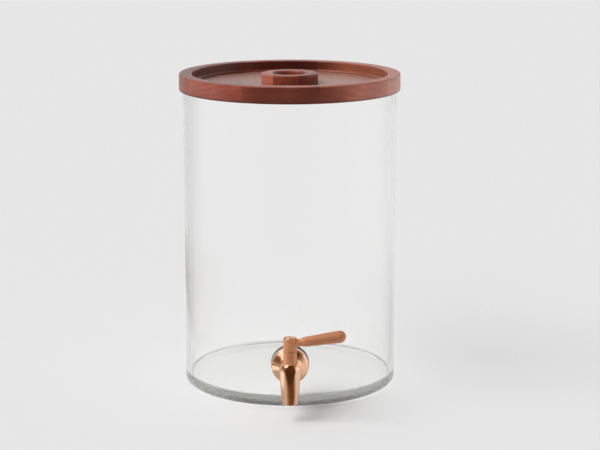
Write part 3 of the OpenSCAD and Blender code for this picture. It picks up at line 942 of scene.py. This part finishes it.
# %% Ring pull
PULL_HOLE_R = 15.25
PULL_EASE = 1.8
PULL_SEAT_EASE = 0.2
PULL_SIDES = 160
PULL_STAVES = ((-0.11, 0.7, 0.35), (-0.0155, 0.48, 0.35), (0.008, 0.38, 0.35))

pull_wood = oiled_wood("oiled_wood_pull", PULL_STAVES)
pull_corners = [
    (PULL_HOLE_R, TRAY_Z, PULL_SEAT_EASE), (PULL_R, TRAY_Z, PULL_SEAT_EASE), (PULL_R, LID_TOP, PULL_EASE),
    (PULL_HOLE_R, LID_TOP, PULL_EASE)]
pull_shape = moved(turned(eased(pull_corners, steps=8), PULL_SIDES), JAR_AXIS)
add_piece("ring_pull_turned", pull_shape, pull_wood, "lid", "lid_ring_pull")

# %% [markdown]
# The tap's spout, barrel, rosette and cap are plated with copper and polished. A perfect mirror would look
# drawn, so the roughness wanders a little, with faint hairlines from the polishing wheel.

# %% Polished copper
POLISHED_TONES = ((0.3, (0.74, 0.42, 0.27)), (0.7, (0.82, 0.49, 0.33)))
POLISHED_ROUGH = (0.1, 0.16)
HAIRLINE_SPAN = (0.55, 0.75)
HAIRLINE_ROUGH = (0.0, 0.05)
EVEN = (1.0, 1.0, 1.0)

polished_copper, polished_shader = new_finish("polished_copper")
polish = polished_copper.node_tree
wander = stretched_noise(polish, EVEN, scale=90.0, detail=3.0)
hairlines = stretched_noise(polish, stretch=(1.0, 1.0, 0.03), scale=4000.0)
polished_rough = calc(polish, "ADD", remap(polish, wander, NOISE_SPAN, POLISHED_ROUGH),
                      remap(polish, hairlines, HAIRLINE_SPAN, HAIRLINE_ROUGH))
plug(polish, polished_shader, {
    "Base Color": ramp(polish, wander, POLISHED_TONES), "Metallic": 1.0, "Roughness": polished_rough,
    "Normal": bump(polish, hairlines, strength=0.02, distance=0.0001)})
print("polished copper ready")

# %% [markdown]
# The lever, its hub and the tap's neck have the same plating, brushed to a satin skin that spreads the
# reflections. Short brush marks run along the lever, and the tone is browner than the polished parts. Away
# from the hub, along the lever, painted shade darkens the tone a little.

# %% Satin copper
SATIN_TONES = ((0.3, (0.62, 0.26, 0.125)), (0.7, (0.73, 0.325, 0.16)))
SATIN_METAL = 0.4
SATIN_ROUGH = (0.46, 0.58)
BRUSHED_SHARE = 0.5
# Painted shade: the lever is drawn a shade darker than the hub.
LEVER_SHADE_SPAN = (0.007, 0.02)
LEVER_SHADE_TINT = (0.85, 0.83, 0.85, 1.0)

satin_copper, satin_shader = new_finish("satin_copper")
satin = satin_copper.node_tree
brushing = stretched_noise(satin, stretch=(0.06, 1.0, 1.0), scale=2600.0, detail=3.0)
mottle = stretched_noise(satin, EVEN, scale=130.0, detail=3.0)
satin_value = calc(satin, "ADD", times(satin, brushing, BRUSHED_SHARE),
                   times(satin, mottle, 1 - BRUSHED_SHARE))
lever_shade = fade(satin, parts_of(satin, own_place(satin))["X"], LEVER_SHADE_SPAN)
satin_tone = blend_colours(satin, lever_shade, ramp(satin, satin_value, SATIN_TONES), LEVER_SHADE_TINT, "MULTIPLY")
plug(satin, satin_shader, {
    "Base Color": satin_tone, "Metallic": SATIN_METAL,
    "Roughness": remap(satin, brushing, NOISE_SPAN, SATIN_ROUGH),
    "Normal": bump(satin, brushing, strength=0.05, distance=0.0001)})
print("satin copper ready")

# %% [markdown]
# The spout, elbow and neck share one turned outline round an upright axis: a lip, a slow taper up to the
# widest place of the elbow, a round shoulder and a hollow that runs into the neck. They are hollow inside,
# because the valve's plug turns there and the mouth shows its bore from below. The neck is brushed and the
# rest is polished. One mesh with two materials would do, but two pieces that meet at the shoulder can each
# name their own finish.

# %% Spout
SPOUT_R = 9.1
SPOUT_TIP_R = 7.1
SPOUT_DROP = 25.5
SPOUT_BELLY = 5.5
TAPER_STEPS = 24
LIP_ROUND = 0.6
MOUTH_CHAMFER = 0.3
NECK_R = 6.0
NECK_FILLET = 3.0
OUTLET_R = 5.2
OUTLET_TOP = -12.0
SHOULDER_TOP = -10.0
PORT_R = 2.7
CHAMBER_R = 4.6
TAP_SIDES = 160
NECK_HOLLOW = SPOUT_BELLY + math.sqrt((SPOUT_R + NECK_FILLET) ** 2 - (NECK_R + NECK_FILLET) ** 2)
NECK_BEND = math.degrees(math.atan2(NECK_HOLLOW - SPOUT_BELLY, NECK_R + NECK_FILLET))

lip_z = -SPOUT_DROP + LIP_ROUND
outer_spout = arc((SPOUT_TIP_R - LIP_ROUND, lip_z), LIP_ROUND, -90, 0, steps=6)
for step in range(1, TAPER_STEPS + 1):
    share = step / TAPER_STEPS
    swell = math.sin(share * math.pi / 2)
    outer_spout.append((SPOUT_TIP_R + (SPOUT_R - SPOUT_TIP_R) * swell, lip_z + (SPOUT_BELLY - lip_z) * share))
outer_spout += arc((0, SPOUT_BELLY), SPOUT_R, 0, NECK_BEND, steps=14)[1:]
neck_foot = outer_spout[-1][1]
spout_inside = [
    (CHAMBER_R, neck_foot), (CHAMBER_R, SHOULDER_TOP), (PORT_R, SHOULDER_TOP), (PORT_R, OUTLET_TOP),
    (OUTLET_R, OUTLET_TOP), (OUTLET_R, -SPOUT_DROP + MOUTH_CHAMFER), (OUTLET_R + MOUTH_CHAMFER, -SPOUT_DROP)]
spout_shape = moved(turned(outer_spout + spout_inside, TAP_SIDES), SPOUT_AXIS)
print("spout from", -SPOUT_DROP, "to", round(neck_foot, 2), "mm about the shank's axis")

# %% Neck
NECK_RISE = 23.0
NECK_CHAMFER = 0.1

neck_profile = arc((NECK_R + NECK_FILLET, NECK_HOLLOW), NECK_FILLET, 180 + NECK_BEND, 180, steps=12)
neck_profile += [(NECK_R, NECK_RISE - NECK_CHAMFER), (NECK_R - NECK_CHAMFER, NECK_RISE),
                 (CHAMBER_R, NECK_RISE), (CHAMBER_R, neck_foot)]
add_piece("tap_neck_satin", moved(turned(neck_profile, TAP_SIDES), SPOUT_AXIS), satin_copper,
          "jar", "tap_body")

# %% [markdown]
# The barrel and the threaded shank lie on the axis that goes through the glass. The thread is a real helix
# here: every point of the shank is pushed in by where it stands along the turn. Near the spout the barrel
# flares a little, as the fillet of a casting does.

# %% Barrel and shank
SHANK_R = 7.0
SHANK_END = -20.5
END_CHAMFER = 0.4
THREAD_TOP = -7.0
THREAD_PITCH = 1.5
THREAD_DEPTH = 0.7
THREAD_SIDES = 96
THREAD_ROWS = 120
THREAD_FADE = 10
ROSETTE_FRONT = 15.64
BARREL_R = 8.25
PASSAGE_R = 3.0
BARREL_END = 32.0
BARREL_FLARE = 0.7
FLARE_START = 23.0
FLARE_STEPS = 8


def threaded_shank_shape():
    low = SHANK_END + END_CHAMFER
    profile = [(PASSAGE_R, low), (PASSAGE_R + END_CHAMFER, SHANK_END),
               (SHANK_R - THREAD_DEPTH - END_CHAMFER, SHANK_END)]
    first_thread = len(profile)
    profile += [(SHANK_R, low + (THREAD_TOP - low) * row / THREAD_ROWS) for row in range(THREAD_ROWS + 1)]
    profile += [(SHANK_R, ROSETTE_FRONT), (BARREL_R - END_CHAMFER, ROSETTE_FRONT),
                (BARREL_R, ROSETTE_FRONT + END_CHAMFER)]
    for step in range(FLARE_STEPS + 1):
        share = step / FLARE_STEPS
        along_barrel = FLARE_START + (BARREL_END - FLARE_START) * share
        profile.append((BARREL_R + BARREL_FLARE * share ** 2, along_barrel))
    profile.append((PASSAGE_R, BARREL_END))
    verts, faces = turned(profile, THREAD_SIDES)
    for row in range(THREAD_ROWS + 1):
        run_in = min(1.0, row / THREAD_FADE)
        run_out = min(1.0, (THREAD_ROWS - row) / THREAD_FADE)
        for k in range(THREAD_SIDES):
            index = (first_thread + row) * THREAD_SIDES + k
            x, y, u = verts[index]
            turn = (u / THREAD_PITCH - math.atan2(y, x) / (2 * math.pi)) % 1.0
            depth = abs(turn - 0.5) * 2 * THREAD_DEPTH * min(run_in, run_out) + THREAD_DEPTH * (1 - run_in)
            reach = (SHANK_R - depth) / math.hypot(x, y)
            verts[index] = (x * reach, y * reach, u)
    return verts, faces


tap_shape = joined(spout_shape, moved(threaded_shank_shape(), SHANK_AXIS))
add_piece("tap_body_cast", tap_shape, polished_copper, "jar", "tap_body")

# %% [markdown]
# The rosette covers the hole in the glass: a short straight edge, a dome that curves over and a hollow that
# runs up to the barrel. Two arcs with a short cone between them make its profile, without a corner.

# %% Rosette
ROSETTE_R = 17.0
ROSETTE_BACK = 2.5
ROSETTE_EDGE = 1.5
ROSETTE_CHAMFER = 0.3
ROSETTE_DOME = 5.5
ROSETTE_SLOPE = 54.0
ROSETTE_END_R = 8.85
ROSETTE_LIP = 0.25
ROSETTE_LIP_TURN = 2
ROSETTE_HOLE_R = SHANK_R + 0.05

dome_u = ROSETTE_BACK + ROSETTE_EDGE
slope = math.radians(ROSETTE_SLOPE)
inwards = ROSETTE_R - ROSETTE_END_R
forwards = ROSETTE_FRONT - dome_u
both_arcs = (forwards * math.sin(slope) - inwards * math.cos(slope)) / (1 - math.cos(slope))
hollow_r = both_arcs - ROSETTE_DOME
rosette_profile = [
    (ROSETTE_HOLE_R, ROSETTE_BACK), (ROSETTE_R - ROSETTE_CHAMFER, ROSETTE_BACK),
    (ROSETTE_R, ROSETTE_BACK + ROSETTE_CHAMFER)]
rosette_profile += arc((ROSETTE_R - ROSETTE_DOME, dome_u), ROSETTE_DOME, 0, ROSETTE_SLOPE, steps=20)
rosette_profile += arc((ROSETTE_END_R + hollow_r, ROSETTE_FRONT), hollow_r, 180 + ROSETTE_SLOPE,
                       180 + ROSETTE_LIP_TURN, steps=16)
rosette_profile += [(ROSETTE_END_R - ROSETTE_LIP, ROSETTE_FRONT), (ROSETTE_HOLE_R, ROSETTE_FRONT)]
add_piece("tap_rosette_spun", moved(turned(rosette_profile), SHANK_AXIS), polished_copper,
          "jar", "tap_rosette")

# %% [markdown]
# The lever handle is a hub with a bat. Both are turned shapes, the bat round its own tilted axis. A narrow
# groove between the hub and its cap gives the dark ring that shows on top.

# %% Hub
HUB_R = 6.0
HUB_FOOT = 23.35
HUB_TOP = 35.15
HUB_EASE = 0.6
HUB_EDGE_EASE = 0.1
HUB_SIDES = 128
SOCKET_R = 3.6
SOCKET_TOP = HUB_FOOT + 5.5
SCREW_BORE_R = 1.6
CAP_R = 4.3
CAP_SEAT = HUB_TOP - 1.0
CAP_EDGE = HUB_TOP - 0.8
CAP_HOLE_R = CAP_R + 0.05
CAP_GROOVE_R = CAP_R + 0.75

hub_corners = [
    (SOCKET_R, HUB_FOOT, 0), (HUB_R, HUB_FOOT, HUB_EDGE_EASE), (HUB_R, HUB_TOP, HUB_EASE),
    (CAP_GROOVE_R, HUB_TOP, HUB_EDGE_EASE), (CAP_HOLE_R, CAP_EDGE, 0), (CAP_HOLE_R, CAP_SEAT, 0),
    (SCREW_BORE_R, CAP_SEAT, 0), (SCREW_BORE_R, SOCKET_TOP, 0), (SOCKET_R, SOCKET_TOP, 0)]
hub_shape = moved(turned(eased(hub_corners), HUB_SIDES), SPOUT_AXIS)
print("hub", round(HUB_TOP - HUB_FOOT, 2), "mm tall")

# %% Lever
LEVER_NECK_R = 3.4
LEVER_ROOT_R = 4.4
LEVER_TIP_R = 5.5
LEVER_PLAIN = 8.67
LEVER_ROOT = 14.0
LEVER_REACH = 50.0
LEVER_TIP_TURN = 2
LEVER_SUNK = HUB_R - 1.0
LEVER_FILLET = ((0.9, -0.9), (0.3, 0.2), (0.0, 0.9))
LEVER_STEPS = 20
LEVER_SIDES = 96

bat_profile = [(0, LEVER_SUNK)]
bat_profile += [(LEVER_NECK_R + wider, HUB_R + further) for wider, further in LEVER_FILLET]
for step in range(LEVER_STEPS + 1):
    share = step / LEVER_STEPS
    swell = (1 - math.cos(share * math.pi)) / 2
    bat_profile.append((LEVER_NECK_R + (LEVER_ROOT_R - LEVER_NECK_R) * swell,
                        LEVER_PLAIN + (LEVER_ROOT - LEVER_PLAIN) * share))
bat_profile += arc((0, LEVER_REACH - LEVER_TIP_R), LEVER_TIP_R, LEVER_TIP_TURN, 90, steps=20)[:-1]
bat_profile.append((0, LEVER_REACH))
bat_shape = moved(turned(bat_profile, LEVER_SIDES, loop=False), LEVER_AXIS)
add_piece("lever_handle_satin", joined(hub_shape, bat_shape), satin_copper, "valve",
          "lever_handle")

# %% [markdown]
# The cap hides the screw that holds the hub. It is polished, with a small dimple in its middle where it was
# pressed home, so it shows as a light ring with a dark spot.

# %% Hub cap
CAP_CROWN = 0.4
CAP_RINGS = (3.4, 3.2, 2.4, 1.5)
CAP_SIDES = 96
DIMPLE_R = 1.1
DIMPLE_EDGE = HUB_TOP - 0.2
DIMPLE_FLOOR = HUB_TOP - 0.35

cap_profile = [(0, CAP_SEAT), (CAP_R, CAP_SEAT), (CAP_R, CAP_EDGE)]
cap_profile += [(r, HUB_TOP + CAP_CROWN - CAP_CROWN * (r / CAP_R) ** 2) for r in CAP_RINGS]
cap_profile += [(DIMPLE_R, DIMPLE_EDGE), (0, DIMPLE_FLOOR)]
cap_shape = moved(turned(cap_profile, CAP_SIDES, loop=False), SPOUT_AXIS)
add_piece("hub_cap_polished", cap_shape, polished_copper, "valve", "hub_cap")

# %% [markdown]
# The rest of the hardware is small or hidden, but a reader who opens the model will find it: steel, brass,
# silicone and rubber.

# %% Hardware finishes
SOFT_SPREAD = 0.15
SOFT_RADIUS = (0.003, 0.003, 0.003)


def metal(name, dark, light, rough):
    material, shader = new_finish(name)
    tree = material.node_tree
    lines = stretched_noise(tree, stretch=(1.0, 1.0, 0.05), scale=3000.0)
    plug(tree, shader, {
        "Base Color": ramp(tree, lines, tuple(zip(NOISE_SPAN, (dark, light)))), "Metallic": 1.0,
        "Roughness": remap(tree, lines, NOISE_SPAN, rough),
        "Normal": bump(tree, lines, strength=0.04, distance=0.0001)})
    return material


def soft(name, dark, light, rough, depth):
    material, shader = new_finish(name)
    tree = material.node_tree
    skin = stretched_noise(tree, EVEN, scale=700.0, detail=3.0)
    plug(tree, shader, {
        "Base Color": ramp(tree, skin, tuple(zip(NOISE_SPAN, (dark, light)))),
        "Roughness": remap(tree, skin, NOISE_SPAN, (rough, rough + SOFT_SPREAD)),
        "Subsurface Weight": depth, "Subsurface Radius": SOFT_RADIUS,
        "Normal": bump(tree, skin, strength=0.05, distance=0.0001)})
    return material


steel = metal("stainless_steel", dark=(0.42, 0.43, 0.44), light=(0.58, 0.59, 0.6), rough=(0.24, 0.36))
brass = metal("bare_brass", dark=(0.5, 0.33, 0.12), light=(0.64, 0.45, 0.19), rough=(0.22, 0.36))
silicone = soft("silicone", dark=(0.66, 0.66, 0.64), light=(0.78, 0.78, 0.76), rough=0.4, depth=0.3)
black_rubber = soft("black_rubber", dark=(0.12, 0.12, 0.12), light=(0.16, 0.16, 0.16), rough=0.6, depth=0.0)
print("steel, brass, silicone and rubber ready")

# %% Carried nodes
CARRIED = {
    "pull_screws": steel, "lid_seal": silicone, "outer_gasket": black_rubber, "inner_gasket": black_rubber,
    "shank_washer": steel, "lock_nut": satin_copper, "port_seal": silicone, "stop_pin": steel,
    "thrust_washer": brass, "valve_plug": brass, "upper_o_ring": black_rubber,
    "lower_o_ring": black_rubber, "handle_screw": steel}
for name, finish in CARRIED.items():
    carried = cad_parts[name]
    carried.data.materials.clear()
    carried.data.materials.append(finish)
print("finishes on", len(CARRIED), "carried nodes")
